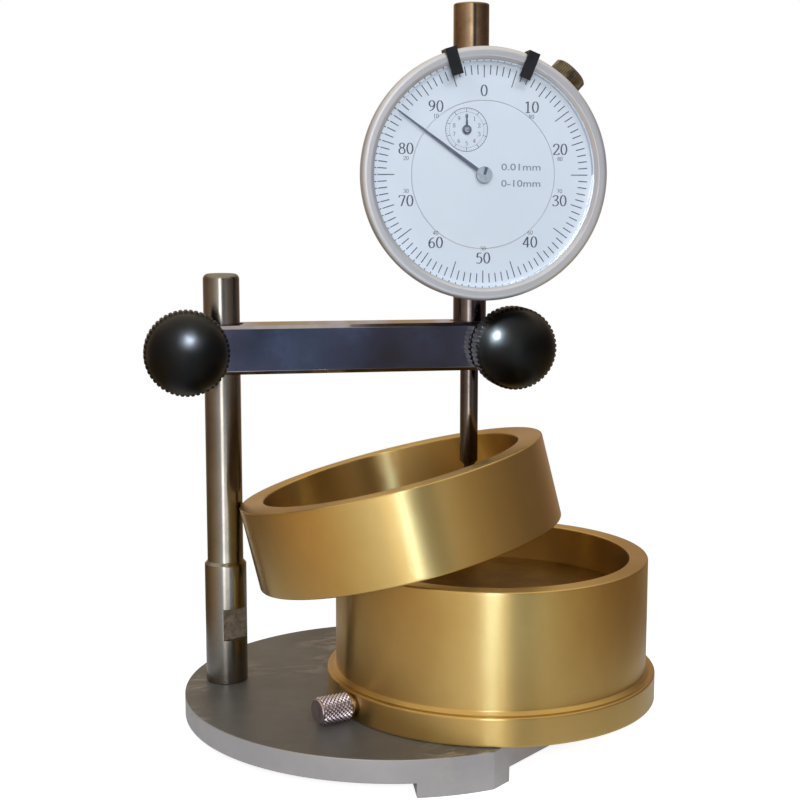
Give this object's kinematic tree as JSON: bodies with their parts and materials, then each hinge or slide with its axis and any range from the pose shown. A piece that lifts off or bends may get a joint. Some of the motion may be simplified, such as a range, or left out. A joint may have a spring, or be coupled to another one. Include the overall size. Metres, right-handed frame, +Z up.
{
  "type": "soil shrinkage limit tester",
  "caption": "Bench tester on a round base: a column and clamp arm hold a dial gauge over a brass sample ring that leans on a flanged brass vessel.",
  "frame": {"origin": "middle of the outline on the table, at the undersides of the base's feet", "axes": "+Z up, -Y towards the person who reads the dial, +X along the clamp arm to the right"},
  "size_m": [0.1186, 0.1, 0.1704],
  "materials": {
    "satin_steel": "satin grey base",
    "ground_steel": "ground bright steel",
    "chrome_arm": "polished chrome plate",
    "bush_brass": "turned",
    "black_knob": "gloss black phenolic",
    "screw_steel": "turned steel",
    "gauge_metal": "satin silver",
    "bezel_metal": "satin bright",
    "cap_metal": "warm bright nickel",
    "clear_window": "clear",
    "dial_print": "printed white dial",
    "black_clip": "black sprung strip",
    "movement_brass": "stamped",
    "blued_hand": "dark blued",
    "spring_steel": "drawn wire",
    "turned_brass": "satin turned",
    "nickel_screw": "knurled nickel"
  },
  "bodies": {
    "base": {"base_plate": "satin_steel", "column": "ground_steel"},
    "column_bush": {"column_bush": "bush_brass"},
    "arm": {"clamp_arm": "chrome_arm"},
    "column_knob": {"column_knob": "black_knob", "column_knob_stud": "screw_steel"},
    "gauge_knob": {"gauge_knob": "black_knob", "gauge_knob_stud": "screw_steel"},
    "stem_bush": {"stem_bush": "bush_brass"},
    "gauge": {"gauge_case": "gauge_metal", "back_cover": "gauge_metal", "cover_screws": "screw_steel", "gauge_stem": "ground_steel", "top_bush": "bush_brass", "dust_cap": "cap_metal", "dial_centre": "dial_print", "rear_plate": "movement_brass", "front_plate": "movement_brass", "plate_pillars": "movement_brass", "plate_screws": "screw_steel", "arbor_bridge": "movement_brass", "guide_rail": "movement_brass", "return_spring": "spring_steel", "hairspring": "spring_steel"},
    "bezel": {"bezel": "bezel_metal", "crystal": "clear_window", "dial_ring": "dial_print"},
    "left_clip": {"left_limit_clip": "black_clip"},
    "right_clip": {"right_limit_clip": "black_clip"},
    "lock_screw": {"bezel_lock_screw": "cap_metal"},
    "plunger": {"spindle": "ground_steel", "contact_point": "ground_steel", "guide_pin": "screw_steel", "stop_ring": "screw_steel"},
    "drive_gear": {"drive_wheel": "movement_brass", "rack_pinion": "screw_steel"},
    "hand": {"centre_pinion": "screw_steel", "main_hand": "blued_hand"},
    "takeup_gear": {"takeup_wheel": "movement_brass", "takeup_arbor": "screw_steel", "small_hand": "blued_hand"},
    "vessel": {"vessel": "turned_brass"},
    "thumbscrew": {"vessel_thumbscrew": "nickel_screw"},
    "plate": {"vessel_plate": "turned_brass"},
    "ring": {"sample_ring": "turned_brass"}
  },
  "joints": [
    {"name": "arm_height", "type": "slide", "parent": "base", "child": "column_bush", "axis": [0, 0, 1], "range_m": [0, 0.012]},
    {"name": "arm_swivel", "type": "hinge", "parent": "column_bush", "child": "arm", "pos_m": [-0.04085, 0.01, 0.0895], "axis": [0, 0, 1], "range_deg": [-30, 4]},
    {"name": "column_knob_turn", "type": "hinge", "parent": "arm", "child": "column_knob", "pos_m": [-0.04945, 0, 0.0895], "axis": [0, 1, 0], "range_deg": [-90, 90]},
    {"name": "gauge_knob_turn", "type": "hinge", "parent": "arm", "child": "gauge_knob", "pos_m": [0.02775, 0, 0.0895], "axis": [0, 1, 0], "range_deg": [-90, 90]},
    {"name": "gauge_turn", "type": "hinge", "parent": "arm", "child": "stem_bush", "pos_m": [0.01915, 0.01, 0.0895], "axis": [0, 0, 1], "range_deg": [-120, 120]},
    {"name": "gauge_height", "type": "slide", "parent": "stem_bush", "child": "gauge", "axis": [0, 0, 1], "range_m": [-0.0005, 0.005]},
    {"name": "bezel_turn", "type": "hinge", "parent": "gauge", "child": "bezel", "pos_m": [0.01915, 0.01, 0.1301], "axis": [0, 1, 0], "continuous": true},
    {"name": "left_clip_turn", "type": "hinge", "parent": "bezel", "child": "left_clip", "pos_m": [0.01915, 0.01, 0.1301], "axis": [0, 1, 0], "range_deg": [-120, 14]},
    {"name": "right_clip_turn", "type": "hinge", "parent": "bezel", "child": "right_clip", "pos_m": [0.01915, 0.01, 0.1301], "axis": [0, 1, 0], "range_deg": [-14, 120]},
    {"name": "lock_screw_turn", "type": "hinge", "parent": "gauge", "child": "lock_screw", "pos_m": [0.04045, 0.0045, 0.15262], "axis": [0.6871, 0, 0.7266], "range_deg": [-90, 90]},
    {"name": "plunger_rise", "type": "slide", "parent": "gauge", "child": "plunger", "axis": [0, 0, 1], "range_m": [0, 0.01], "stiffness_N_per_m": 40, "springref_m": -0.02, "deforming": ["return_spring"]},
    {"name": "drive_gear_turn", "type": "hinge", "parent": "gauge", "child": "drive_gear", "pos_m": [0.01622, 0.01, 0.1195], "axis": [0, 1, 0], "range_deg": [-370, 10]},
    {"name": "hand_turn", "type": "hinge", "parent": "gauge", "child": "hand", "pos_m": [0.01915, 0.01, 0.1301], "axis": [0, 1, 0], "range_deg": [-30, 3630]},
    {"name": "takeup_gear_turn", "type": "hinge", "parent": "gauge", "child": "takeup_gear", "pos_m": [0.0151, 0.01, 0.14033], "axis": [0, 1, 0], "range_deg": [-370, 10]},
    {"name": "vessel_lift", "type": "slide", "parent": "base", "child": "vessel", "axis": [0, 0, 1], "range_m": [0, 0.004]},
    {"name": "thumbscrew_turn", "type": "hinge", "parent": "vessel", "child": "thumbscrew", "pos_m": [-0.01931, -0.02542, 0.0119], "axis": [-0.9205, -0.3907, 0], "range_deg": [-90, 90]},
    {"name": "plate_lift", "type": "slide", "parent": "vessel", "child": "plate", "axis": [0, 0, 1], "range_m": [0, 0.006]},
    {"name": "ring_lift", "type": "slide", "parent": "vessel", "child": "ring", "axis": [0, 0, 1], "range_m": [0, 0.004]}
  ],
  "couplings": [
    {"joint": "drive_gear_turn", "follows": "plunger_rise", "rad_per_m": -628.32},
    {"joint": "hand_turn", "follows": "plunger_rise", "rad_per_m": 6283.2},
    {"joint": "takeup_gear_turn", "follows": "plunger_rise", "rad_per_m": -628.32}
  ]
}
